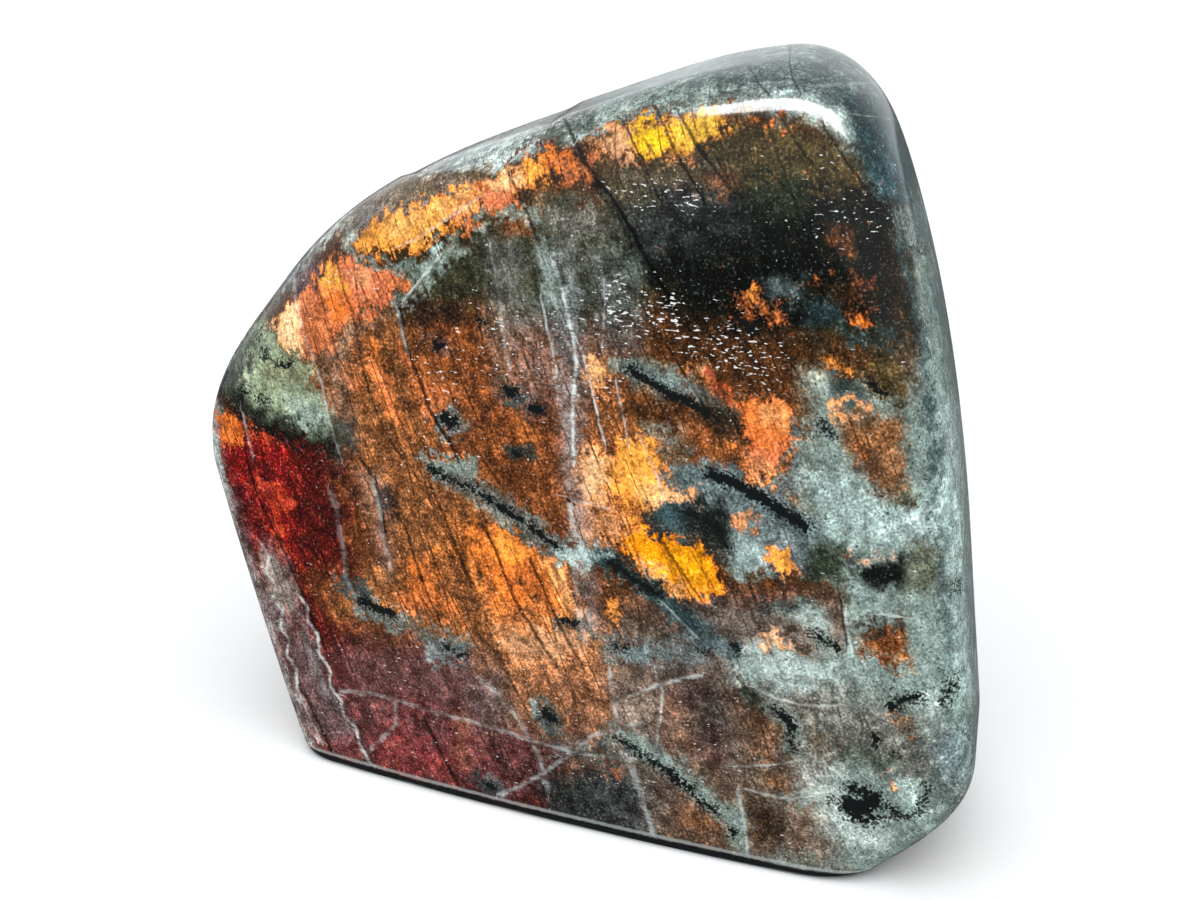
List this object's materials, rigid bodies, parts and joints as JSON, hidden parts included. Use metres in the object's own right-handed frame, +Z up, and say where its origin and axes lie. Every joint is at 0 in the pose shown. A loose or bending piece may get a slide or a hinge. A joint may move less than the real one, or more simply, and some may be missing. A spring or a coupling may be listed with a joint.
{
  "type": "polished labradorite freeform",
  "caption": "Free-standing polished labradorite stone: a rounded slab with a domed, flashing front, a broken flake at one edge and a flat sawn base to stand on.",
  "frame": {"origin": "on the ground, below the middle of the stone's box", "axes": "+Z up; the polished, flashing front faces -Y; +X runs to the right along the front's lower edge"},
  "size_m": [0.1436, 0.0508, 0.1346],
  "materials": {
    "labradorite": "high polish, copper, gold and crimson flash in blue-grey feldspar"
  },
  "bodies": {
    "root": {"stone": "labradorite"}
  },
  "joints": []
}
